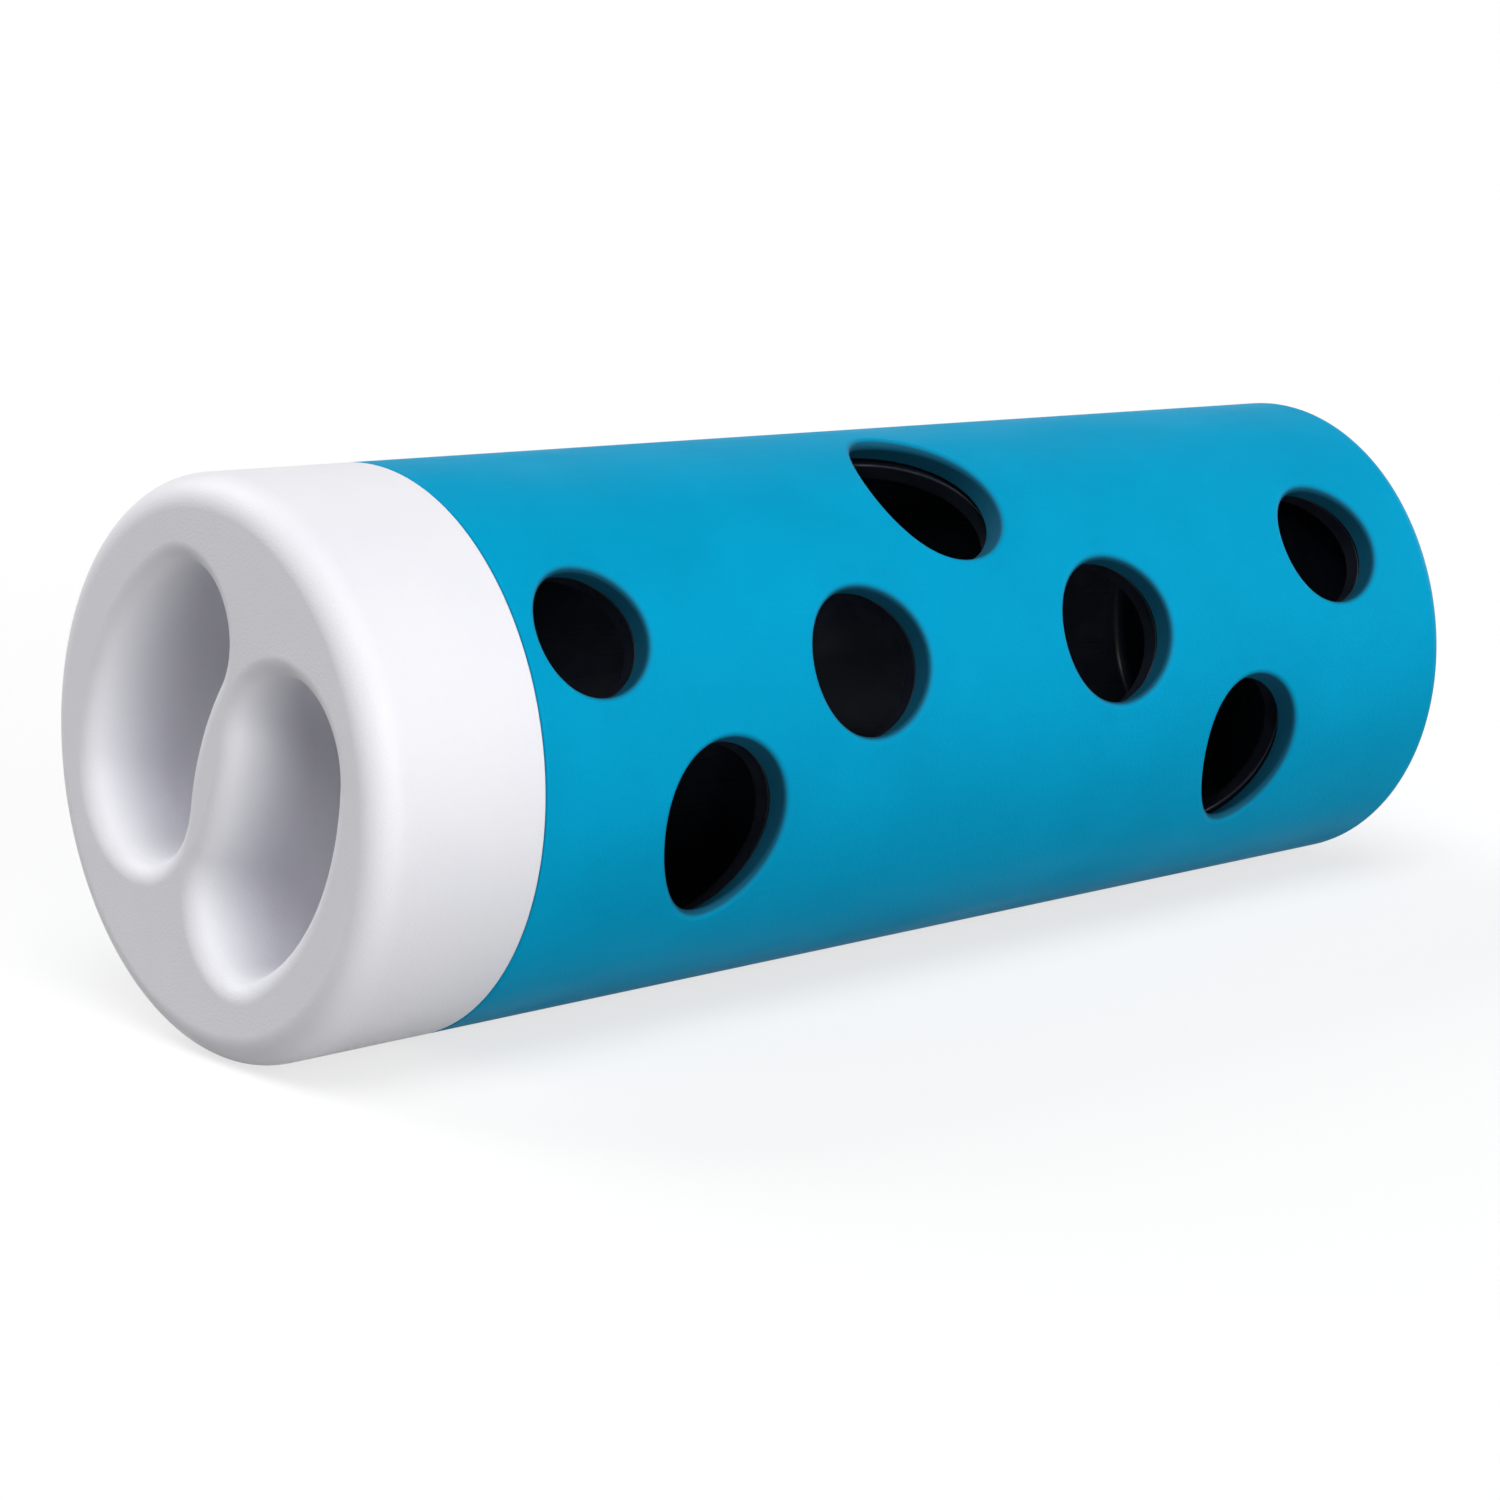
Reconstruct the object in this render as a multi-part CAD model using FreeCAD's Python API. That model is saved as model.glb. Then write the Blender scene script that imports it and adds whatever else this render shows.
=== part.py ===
import FreeCAD, Part
import math
import os

from FreeCAD import Vector

# Treat dispensing roll, lying on its side. All sizes are in millimetres.
# The origin is on the roll's axis at half its length. +X runs from the cap to the closed far end,
# +Z is up, and the side with the photographed row of holes faces -Y.

# Overall size
LENGTH = 149.5
CAP_END_DIAMETER = 60.0
FAR_END_DIAMETER = 52.0
CAP_LENGTH = 20.5

# Soft sleeve
SLEEVE_WALL = 2.8
SLEEVE_FLOOR = 3.0
FAR_EDGE_RADIUS = 1.9
MOUTH_EDGE_BEVEL = 0.25
HOLE_RIM_BEVEL = 0.55

# Row of holes: a W with its middle hole on top, all cut along one mould pull direction
HOLE_ROW_CENTRE_X = 7.1
HOLE_ROW_TILT = 22.2
LARGE_HOLE_RADIUS = 7.75
SMALL_HOLE_RADIUS = 6.7
MIDDLE_STEP = 17.6
LOW_STEP = 37.8
OUTER_STEP = 52.45
TOP_RISE = 15.6
INNER_DROP = 1.55
LOW_DROP = 15.1
OUTER_RISE = 4.85
HOLE_CUTTER_START = 5.0

# Inner drum
DRUM_GAP = 0.35
DRUM_WALL = 2.0
DRUM_FLOOR = 3.2
DRUM_END_GAP = 0.4
DRUM_CORNER_RADIUS = 1.2
DRUM_HOLE_EXTRA = 0.3
DRUM_HOLE_MARGIN = 0.6
NECK_LENGTH = 7.0
BEAD_HEIGHT = 0.7
BEAD_LENGTH = 2.4
BEAD_FROM_FLOOR = 1.0
BEAD_CLEARANCE = 0.4

# Pivot at the closed end
PIVOT_RADIUS = 4.0
PIVOT_LENGTH = 2.0
PIVOT_FIT = 0.06

# Cap
CAP_EDGE_RADIUS = 3.4
CAP_PLATE = 2.2
CAP_SEAM_GAP = 0.12
SKIRT_FIT = 0.1
SHOULDER_GAP = 0.15
SHOULDER_WIDTH = 0.9

# Finger recesses: two lobes each, joined by a hollow flank along the ridge and a long outer arc
UPPER_LOBE_PITCH = 14.3
UPPER_LOBE_ANGLE = 72.4
UPPER_LOBE_RADIUS = 7.4
LOWER_LOBE_PITCH = 13.5
LOWER_LOBE_ANGLE = -12.4
LOWER_LOBE_RADIUS = 9.3
FLANK_RADIUS = 30.0
OUTER_ARC_RADIUS = 27.5
RECESS_DEPTH = 9.0
RECESS_DRAFT = 3.0
RECESS_BOTTOM_RADIUS = 5.0
RECESS_RIM_RADIUS = 2.4
POCKET_WALL = 1.6

# Keys that make the cap and the drum turn together
KEY_COUNT = 4
KEY_WIDTH = 4.0
KEY_FIT = 0.15
KEY_DEPTH = 5.0
KEY_ROOT = 0.5

# How far a cutter reaches past what it cuts, and how far inside the face's edge its recess rims lie
OVERSHOOT = 1.0
RIM_MARGIN = 1.0

# Places along the axis that follow from the sizes above
CAP_FACE_X = -LENGTH / 2
FAR_FACE_X = LENGTH / 2
SEAM_X = CAP_FACE_X + CAP_LENGTH
SLEEVE_FLOOR_X = FAR_FACE_X - SLEEVE_FLOOR
DRUM_TAIL_X = SLEEVE_FLOOR_X - DRUM_END_GAP
DRUM_FLOOR_X = DRUM_TAIL_X - DRUM_FLOOR
NECK_RIM_X = SEAM_X - NECK_LENGTH
BEAD_X = DRUM_FLOOR_X + BEAD_FROM_FLOOR

AXIS = Vector(1, 0, 0)
ORIGIN = Vector(0, 0, 0)


def outer_radius(x):
    """Radius of the roll's tapered outside at x."""
    slope = (CAP_END_DIAMETER - FAR_END_DIAMETER) / 2 / LENGTH
    return CAP_END_DIAMETER / 2 - slope * (x - CAP_FACE_X)


def sleeve_bore(x):
    return outer_radius(x) - SLEEVE_WALL


def drum_outside(x):
    return sleeve_bore(x) - DRUM_GAP


def drum_bore(x):
    return drum_outside(x) - DRUM_WALL


NECK_RADIUS = drum_outside(SEAM_X)
SKIRT_BORE = NECK_RADIUS + SKIRT_FIT

# Bevel on the back of a pocket that keeps its full wall at the rounded bottom
POCKET_BEVEL = (RECESS_BOTTOM_RADIUS + POCKET_WALL) * (2 - math.sqrt(2))


def turned(profile):
    """Solid of revolution about the X axis from a closed list of (x, radius) corners."""
    corners = [Vector(x, 0, r) for x, r in profile]
    face = Part.Face(Part.makePolygon(corners + corners[:1]))
    return face.revolve(ORIGIN, AXIS, 360)


def ring_edges(shape, x, radius, tolerance=0.02):
    """The circular edges of a shape that lie at x with the given radius."""
    found = []
    for edge in shape.Edges:
        curve = edge.Curve
        if isinstance(curve, Part.Circle):
            if abs(curve.Center.x - x) < tolerance and abs(curve.Radius - radius) < tolerance:
                found.append(edge)
    return found


def hole_row():
    """The seven holes of one row as (x, height across the pull direction, radius)."""
    mid = HOLE_ROW_CENTRE_X
    return [
        (mid - OUTER_STEP, OUTER_RISE, SMALL_HOLE_RADIUS),
        (mid - LOW_STEP, -LOW_DROP, LARGE_HOLE_RADIUS),
        (mid - MIDDLE_STEP, -INNER_DROP, LARGE_HOLE_RADIUS),
        (mid, TOP_RISE, LARGE_HOLE_RADIUS),
        (mid + MIDDLE_STEP, -INNER_DROP, LARGE_HOLE_RADIUS),
        (mid + LOW_STEP, -LOW_DROP, SMALL_HOLE_RADIUS),
        (mid + OUTER_STEP, OUTER_RISE, SMALL_HOLE_RADIUS),
    ]


def drum_row():
    """The drum's holes: a little wider, and moved in where the bore would only graze them."""
    holes = []
    for x, height, radius in hole_row():
        wide = radius + DRUM_HOLE_EXTRA
        most = drum_bore(x) - wide - DRUM_HOLE_MARGIN
        holes.append((x, max(-most, min(most, height)), wide))
    return holes


def hole_cutters(holes):
    """Cylinders for a row of holes, all parallel to the pull direction."""
    tilt = math.radians(HOLE_ROW_TILT)
    pull = Vector(0, -math.cos(tilt), math.sin(tilt))
    across = Vector(0, math.sin(tilt), math.cos(tilt))
    reach = CAP_END_DIAMETER / 2
    cutters = []
    for x, height, radius in holes:
        base = Vector(x, 0, 0) + across * height + pull * HOLE_CUTTER_START
        cutters.append(Part.makeCylinder(radius, reach, base, pull))
    return cutters


def half_turn(shapes):
    """Copies of the shapes turned half a turn about the roll's axis."""
    copies = []
    for shape in shapes:
        copy = shape.copy()
        copy.rotate(ORIGIN, AXIS, 180)
        copies.append(copy)
    return copies


def on_surface(edge, radius_at, tolerance=0.05):
    """True if points along the edge lie on the cone whose radius at x is radius_at(x)."""
    first, last = edge.ParameterRange
    for share in (0.0, 0.2, 0.4, 0.6, 0.8):
        point = edge.valueAt(first + (last - first) * share)
        if abs(math.hypot(point.y, point.z) - radius_at(point.x)) > tolerance:
            return False
    return True


def hole_rims(shape, radius_at):
    """The edges where holes break through the surface, away from the ends."""
    rims = []
    for edge in shape.Edges:
        if isinstance(edge.Curve, (Part.Circle, Part.Line)):
            continue
        if on_surface(edge, radius_at):
            rims.append(edge)
    return rims


def sleeve():
    """Soft outer sleeve: a tapered cup with two rows of holes, a snap groove and a pivot pin."""
    groove_from = BEAD_X - BEAD_LENGTH / 2 - BEAD_CLEARANCE
    groove_to = BEAD_X + BEAD_LENGTH / 2 + BEAD_CLEARANCE
    groove_depth = BEAD_HEIGHT - DRUM_GAP + BEAD_CLEARANCE
    slant = groove_depth
    body = turned([
        (SEAM_X, outer_radius(SEAM_X)),
        (FAR_FACE_X, outer_radius(FAR_FACE_X)),
        (FAR_FACE_X, 0),
        (SLEEVE_FLOOR_X - PIVOT_LENGTH, 0),
        (SLEEVE_FLOOR_X - PIVOT_LENGTH, PIVOT_RADIUS),
        (SLEEVE_FLOOR_X, PIVOT_RADIUS),
        (SLEEVE_FLOOR_X, sleeve_bore(SLEEVE_FLOOR_X)),
        (groove_to + slant, sleeve_bore(groove_to + slant)),
        (groove_to, sleeve_bore(groove_to) + groove_depth),
        (groove_from, sleeve_bore(groove_from) + groove_depth),
        (groove_from - slant, sleeve_bore(groove_from - slant)),
        (SEAM_X, sleeve_bore(SEAM_X)),
    ])
    body = body.makeFillet(FAR_EDGE_RADIUS, ring_edges(body, FAR_FACE_X, outer_radius(FAR_FACE_X)))
    body = body.makeChamfer(MOUTH_EDGE_BEVEL, ring_edges(body, SEAM_X, outer_radius(SEAM_X)))
    front = hole_cutters(hole_row())
    body = body.cut(front + half_turn(front))
    return body.makeChamfer(HOLE_RIM_BEVEL, hole_rims(body, outer_radius))


def key_blocks(width, inner, outer, x_from, x_to):
    """Blocks set round the axis for the keys or their notches."""
    blocks = []
    for index in range(KEY_COUNT):
        block = Part.makeBox(x_to - x_from, width, outer - inner, Vector(x_from, -width / 2, inner))
        block.rotate(ORIGIN, AXIS, index * 360 / KEY_COUNT)
        blocks.append(block)
    return blocks


def drum():
    """Rigid inner drum: a tapered cup that turns in the sleeve, open along one row of holes."""
    bead_from = BEAD_X - BEAD_LENGTH / 2
    bead_to = BEAD_X + BEAD_LENGTH / 2
    body = turned([
        (NECK_RIM_X, NECK_RADIUS),
        (SEAM_X, NECK_RADIUS),
        (bead_from - BEAD_HEIGHT, drum_outside(bead_from - BEAD_HEIGHT)),
        (bead_from, drum_outside(bead_from) + BEAD_HEIGHT),
        (bead_to, drum_outside(bead_to) + BEAD_HEIGHT),
        (bead_to + BEAD_HEIGHT, drum_outside(bead_to + BEAD_HEIGHT)),
        (DRUM_TAIL_X, drum_outside(DRUM_TAIL_X)),
        (DRUM_TAIL_X, PIVOT_RADIUS + PIVOT_FIT),
        (DRUM_TAIL_X - PIVOT_LENGTH, PIVOT_RADIUS + PIVOT_FIT),
        (DRUM_TAIL_X - PIVOT_LENGTH, 0),
        (DRUM_FLOOR_X, 0),
        (DRUM_FLOOR_X, drum_bore(DRUM_FLOOR_X)),
        (SEAM_X, drum_bore(SEAM_X)),
        (NECK_RIM_X, drum_bore(SEAM_X)),
    ])
    body = body.makeFillet(DRUM_CORNER_RADIUS, ring_edges(body, DRUM_FLOOR_X, drum_bore(DRUM_FLOOR_X)))
    notches = key_blocks(KEY_WIDTH + 2 * KEY_FIT, drum_bore(SEAM_X) - OVERSHOOT, NECK_RADIUS + OVERSHOOT,
                         NECK_RIM_X - OVERSHOOT, NECK_RIM_X + KEY_DEPTH)
    return body.cut(hole_cutters(drum_row()) + notches)


def polar(radius, angle):
    """Point in the (y, z) plane at an angle from +Y towards +Z."""
    return (radius * math.cos(math.radians(angle)), radius * math.sin(math.radians(angle)))


def circles_meet(first, first_radius, second, second_radius):
    """Where two circles cross, on the right of the way from the first centre to the second."""
    dy = second[0] - first[0]
    dz = second[1] - first[1]
    gap = math.hypot(dy, dz)
    along = (first_radius ** 2 - second_radius ** 2 + gap ** 2) / (2 * gap)
    off = math.sqrt(first_radius ** 2 - along ** 2)
    return (first[0] + (along * dy + off * dz) / gap, first[1] + (along * dz - off * dy) / gap)


def towards(start, end, distance):
    """Point at a distance from start on the line towards end."""
    gap = math.hypot(end[0] - start[0], end[1] - start[1])
    share = distance / gap
    return (start[0] + (end[0] - start[0]) * share, start[1] + (end[1] - start[1]) * share)


def arc_middle(centre, radius, first, second):
    """Point on a short arc midway between its two ends."""
    middle = ((first[0] + second[0]) / 2, (first[1] + second[1]) / 2)
    return towards(centre, middle, radius)


def lobe_back(centre, radius, first, second, other):
    """Point on a lobe's circle midway between two of its points, on the side away from other."""
    middle = ((first[0] + second[0]) / 2, (first[1] + second[1]) / 2)
    away = (centre[0] - middle[0], centre[1] - middle[1])
    if math.hypot(*away) < 0.1:
        away = (centre[0] - other[0], centre[1] - other[1])
    facing = away[0] * (centre[0] - other[0]) + away[1] * (centre[1] - other[1])
    sign = 1 if facing > 0 else -1
    size = math.hypot(*away)
    return (centre[0] + sign * radius * away[0] / size, centre[1] + sign * radius * away[1] / size)


def recess_wire(x, grow):
    """Outline of one finger recess at x, every wall moved outwards by grow."""
    upper = polar(UPPER_LOBE_PITCH, UPPER_LOBE_ANGLE)
    lower = polar(LOWER_LOBE_PITCH, LOWER_LOBE_ANGLE)
    upper_radius = UPPER_LOBE_RADIUS + grow
    lower_radius = LOWER_LOBE_RADIUS + grow
    flank_radius = FLANK_RADIUS - grow
    arc_radius = OUTER_ARC_RADIUS + grow

    # Hollow flank beside the ridge: its circle lies outside the recess and touches both lobes
    flank_centre = circles_meet(upper, flank_radius + upper_radius, lower, flank_radius + lower_radius)
    flank_top = towards(flank_centre, upper, flank_radius)
    flank_foot = towards(flank_centre, lower, flank_radius)

    # Outer arc that goes round both lobes and touches them
    arc_centre = circles_meet(upper, arc_radius - upper_radius, lower, arc_radius - lower_radius)
    arc_top = towards(arc_centre, upper, arc_radius)
    arc_foot = towards(arc_centre, lower, arc_radius)

    def arc(first, middle, last):
        ends = [Vector(x, point[0], point[1]) for point in (first, middle, last)]
        return Part.Arc(*ends).toShape()

    return Part.Wire([
        arc(flank_top, lobe_back(upper, upper_radius, flank_top, arc_top, lower), arc_top),
        arc(arc_top, arc_middle(arc_centre, arc_radius, arc_top, arc_foot), arc_foot),
        arc(arc_foot, lobe_back(lower, lower_radius, flank_foot, arc_foot, upper), flank_foot),
        arc(flank_foot, arc_middle(flank_centre, flank_radius, flank_foot, flank_top), flank_top),
    ])


def recess_solid(x_from, x_to, grow):
    """Tapered block with the recess outline, moved outwards by grow, and the edges round its inner end."""
    slope = RECESS_DRAFT / RECESS_DEPTH
    wires = [recess_wire(x, grow - slope * (x - CAP_FACE_X)) for x in (x_from, x_to)]
    block = Part.makeLoft(wires, True, True)
    bottom = []
    for edge in block.Edges:
        if all(abs(vertex.X - x_to) < 0.01 for vertex in edge.Vertexes):
            bottom.append(edge)
    return block, bottom


def cap():
    """Twist cap: a rounded shell with two finger recesses, a skirt and four keys."""
    seam_end = SEAM_X - CAP_SEAM_GAP
    shoulder_x = NECK_RIM_X - SHOULDER_GAP
    outside = turned([
        (CAP_FACE_X, 0),
        (CAP_FACE_X, outer_radius(CAP_FACE_X)),
        (seam_end, outer_radius(seam_end)),
        (seam_end, 0),
    ])
    outside = outside.makeFillet(CAP_EDGE_RADIUS, ring_edges(outside, CAP_FACE_X, outer_radius(CAP_FACE_X)))
    outside = outside.makeChamfer(MOUTH_EDGE_BEVEL, ring_edges(outside, seam_end, outer_radius(seam_end)))
    hollow = turned([
        (CAP_FACE_X + CAP_PLATE, 0),
        (CAP_FACE_X + CAP_PLATE, SKIRT_BORE - CAP_EDGE_RADIUS / 2),
        (CAP_FACE_X + CAP_EDGE_RADIUS, SKIRT_BORE - SHOULDER_WIDTH),
        (shoulder_x, SKIRT_BORE - SHOULDER_WIDTH),
        (shoulder_x, SKIRT_BORE),
        (seam_end + OVERSHOOT, SKIRT_BORE),
        (seam_end + OVERSHOOT, 0),
    ])
    shell = outside.cut(hollow)

    inside_plate_x = CAP_FACE_X + CAP_PLATE / 2
    recess_end_x = CAP_FACE_X + RECESS_DEPTH
    pocket, pocket_bottom = recess_solid(inside_plate_x, recess_end_x + POCKET_WALL, POCKET_WALL)
    pocket = pocket.makeChamfer(POCKET_BEVEL, pocket_bottom)
    keys = key_blocks(KEY_WIDTH, drum_bore(SEAM_X) + KEY_FIT, SKIRT_BORE + KEY_ROOT,
                      inside_plate_x, NECK_RIM_X + KEY_DEPTH - 2 * KEY_FIT)
    shell = shell.fuse([pocket] + half_turn([pocket]) + keys)
    recess, recess_bottom = recess_solid(CAP_FACE_X, recess_end_x, 0)
    recess = recess.makeFillet(RECESS_BOTTOM_RADIUS, recess_bottom)
    shell = shell.cut([recess] + half_turn([recess]))
    face_radius = outer_radius(CAP_FACE_X) - CAP_EDGE_RADIUS
    rims = []
    for edge in shell.Edges:
        inside = all(math.hypot(vertex.Y, vertex.Z) < face_radius - RIM_MARGIN for vertex in edge.Vertexes)
        if inside and all(abs(vertex.X - CAP_FACE_X) < 0.01 for vertex in edge.Vertexes):
            rims.append(edge)
    return shell.makeFillet(RECESS_RIM_RADIUS, rims)


def save(name, shape):
    """Write one piece, after checking that it is a single valid solid."""
    solids = shape.Solids
    if len(solids) != 1 or not solids[0].isValid():
        raise ValueError("%s is not one valid solid" % name)
    solids[0].exportStep("parts/%s.step" % name)
    print(name, "volume", round(solids[0].Volume, 1), "faces", len(solids[0].Faces))


os.makedirs("parts", exist_ok=True)
save("outer_sleeve", sleeve())
save("treat_drum", drum())
save("twist_cap", cap())
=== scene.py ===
import math

import bpy
import numpy as np
from mathutils import Matrix, Vector
from mathutils.geometry import delaunay_2d_cdt


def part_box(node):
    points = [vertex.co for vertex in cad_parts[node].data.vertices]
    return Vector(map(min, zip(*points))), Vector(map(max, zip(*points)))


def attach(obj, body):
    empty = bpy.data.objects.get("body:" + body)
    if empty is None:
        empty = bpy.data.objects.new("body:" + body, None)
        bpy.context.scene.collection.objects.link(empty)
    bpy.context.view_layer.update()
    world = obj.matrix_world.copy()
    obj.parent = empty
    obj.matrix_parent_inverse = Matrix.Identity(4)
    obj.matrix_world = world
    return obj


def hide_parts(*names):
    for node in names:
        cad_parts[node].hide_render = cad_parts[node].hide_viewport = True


# Treat dispensing roll: looks for the soft sleeve, the inner drum and the twist cap.
# Shapes are worked out in millimetres in the part's frame and turned into metres as meshes are made.

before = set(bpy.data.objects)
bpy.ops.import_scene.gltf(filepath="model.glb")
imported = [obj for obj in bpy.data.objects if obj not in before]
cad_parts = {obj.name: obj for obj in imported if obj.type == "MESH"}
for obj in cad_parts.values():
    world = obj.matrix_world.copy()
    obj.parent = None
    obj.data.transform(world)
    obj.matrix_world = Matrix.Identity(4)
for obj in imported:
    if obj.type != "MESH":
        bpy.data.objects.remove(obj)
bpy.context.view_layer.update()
MM = 0.001

# Places read from the frame
cap_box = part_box("twist_cap")
sleeve_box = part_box("outer_sleeve")
drum_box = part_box("treat_drum")
CAP_FACE_X = cap_box[0].x / MM
CAP_END_X = cap_box[1].x / MM
SEAM_X = sleeve_box[0].x / MM
FAR_FACE_X = sleeve_box[1].x / MM
NECK_RIM_X = drum_box[0].x / MM
DRUM_TAIL_X = drum_box[1].x / MM
LENGTH = FAR_FACE_X - CAP_FACE_X

# Taper and walls
CAP_END_RADIUS = 30.0
FAR_END_RADIUS = 26.0
SLOPE = (CAP_END_RADIUS - FAR_END_RADIUS) / LENGTH
SLEEVE_WALL = 2.8
SLEEVE_FLOOR = 3.0
DRUM_GAP = 0.35
DRUM_WALL = 2.0
DRUM_FLOOR = 3.2

# Holes: a W with its middle hole on top, cut along one pull direction; each is given as its distance along
# the axis from the row's centre, its height over the roll's axis, square to the pull, and its radius
HOLE_ROW_CENTRE_X = 7.1
HOLE_ROW_TILT = math.radians(22.2)
LARGE_HOLE = 7.75
SMALL_HOLE = 6.7
HOLES = [
    (-52.45, 4.85, SMALL_HOLE),
    (-37.8, -15.1, LARGE_HOLE),
    (-17.6, -1.55, LARGE_HOLE),
    (0.0, 15.6, LARGE_HOLE),
    (17.6, -1.55, LARGE_HOLE),
    (37.8, -15.1, SMALL_HOLE),
    (52.45, 4.85, SMALL_HOLE),
]
DRUM_HOLE_EXTRA = 0.3
DRUM_HOLE_MARGIN = 0.6

# Edge radii
RIM_ROLL = 0.7
RIM_INNER_ROLL = 0.25
DRUM_HOLE_ROLL = 0.2
FAR_EDGE_ROLL = 1.9
MOUTH_ROLL = 0.3
CAP_EDGE_ROLL = 3.4
DRUM_CORNER_ROLL = 1.2
NECK_RIM_ROLL = 0.25

# Snap bead and pivot
BEAD_FROM_FLOOR = 1.0
BEAD_X = DRUM_TAIL_X - DRUM_FLOOR + BEAD_FROM_FLOOR
BEAD_HEIGHT = 0.7
BEAD_HALF = 1.2
BEAD_CLEARANCE = 0.4
PIVOT_RADIUS = 4.0
PIVOT_LENGTH = 2.0
PIVOT_FIT = 0.06

# Cap's inside
CAP_PLATE = 2.2
SKIRT_FIT = 0.1
SHOULDER_GAP = 0.15
SHOULDER_WIDTH = 0.9
POCKET_WALL = 1.6
KEY_COUNT = 4
KEY_FIT = 0.15
KEY_DEPTH = 5.0

# Finger recesses: each has two lobes, given as distance from the axis, direction and radius
UPPER_LOBE = (14.3, math.radians(72.4), 7.4)
LOWER_LOBE = (13.5, math.radians(-12.4), 9.3)
FLANK_RADIUS = 30.0
OUTER_ARC_RADIUS = 27.5
RECESS_DEPTH = 9.8
RECESS_DRAFT = 2.6
RECESS_BOTTOM_ROLL = 5.0
RECESS_RIM_ROLL = 2.4

# Mesh density: stations round the axis sit on odd degrees, so that a notch 10 degrees wide fits them
STATIONS = 180
STATION_STEP = 360.0 / STATIONS
STATION_ANGLES = np.radians(STATION_STEP * (np.arange(STATIONS) + 0.5))
NOTCH_HALF_ANGLE = 5.0
SEAM_ANGLE = math.radians(69.0)
HOLE_POINTS = 96
CONE_STEP = 3.5
CLEAR_OF_HOLES = 0.45
WELD_DECIMALS = 3

# Steps across rolled edges and down the hole walls
FAR_EDGE_STEPS = 10
MOUTH_STEPS = 5
NECK_RIM_STEPS = 4
DRUM_CORNER_STEPS = 8
CAP_EDGE_STEPS = 16
HOLE_RIM_STEPS = 8
HOLE_UNDER_STEPS = 4
HOLE_WALL_STEPS = 3
RECESS_RIM_STEPS = 8
RECESS_BOTTOM_STEPS = 12

# Degrees between the points of a recess outline's arcs
OUTER_ARC_STEP = 3.0
FLANK_STEP = 2.5
LOBE_STEP = 5.0

# Finishes, as linear colours
RUBBER_DEEP = (0.0, 0.28, 0.49)
RUBBER_LIGHT = (0.0, 0.305, 0.53)
# Painted shade: a darker blue that stands in for the shade on the walls of the holes
RUBBER_PAINTED_SHADE = (0.008, 0.095, 0.165)
WHITE_COOL = (0.755, 0.755, 0.80)
WHITE_WARM = (0.785, 0.78, 0.815)
# Painted shade: a greyer white that stands in for the shade in the depths of the recesses
WHITE_PAINTED_SHADE = (0.6, 0.595, 0.66)
BLACK_DEEP = (0.011, 0.014, 0.022)
BLACK_DUSTY = (0.018, 0.022, 0.032)

# Where the painted shade colours are reached: depth under the outside in the holes, depth from the cap's face
# in the recesses and under its outside, and how much a recess's surface leans towards the cap's end
HOLE_SHADE_DEPTH = 0.4
RECESS_SHADE_DEPTHS = (2.0, 8.0)
RECESS_SHADE_INSETS = (2.6, 3.6)
RECESS_SHADE_LEAN = -0.15

# Usual lowest and highest values of a noise
NOISE_LOW = 0.3
NOISE_HIGH = 0.7

# Room
FLOOR_REACH = 5.0
FLOOR_SEEN = (1.0, 1.0, 1.0)
FLOOR_UNSEEN = (0.33, 0.33, 0.33)
FLOOR_GLOW = 0.7
SKY_LIGHT = 0.08

# Large soft lamps far away: direction from the toy to the lamp, strength, and spread in degrees
LAMPS = {
    "key": ((-0.14, -0.98, 0.17), 2.63, 38.0),
    "top": ((-0.32, -0.38, 0.87), 1.6, 35.0),
    "back": ((-0.22, 0.76, 0.61), 1.3, 35.0),
    "left": ((-0.4, 0.85, 0.33), 0.45, 35.0),
    "far": ((1.0, 0.05, 0.05), 1.2, 35.0),
}

# Camera in the part's frame, in millimetres
CAMERA_PLACE = (-358.38, -435.78, 113.25)
CAMERA_LOOK = (0.6161, 0.7598, -0.2075)
CAMERA_UP = (0.1142, 0.1745, 0.978)
CAMERA_LENS = 127.37
CAMERA_SENSOR = 36.0

X_AXIS = np.array([1.0, 0.0, 0.0])
TILT_COS = 1.0 / math.hypot(1.0, SLOPE)


def outer_radius(x):
    return CAP_END_RADIUS - SLOPE * (x - CAP_FACE_X)


def sleeve_bore(x):
    return outer_radius(x) - SLEEVE_WALL


def drum_outside(x):
    return sleeve_bore(x) - DRUM_GAP


def drum_bore(x):
    return drum_outside(x) - DRUM_WALL


NECK_RADIUS = drum_outside(SEAM_X)
NECK_BORE = drum_bore(SEAM_X)
SKIRT_BORE = NECK_RADIUS + SKIRT_FIT


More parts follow.
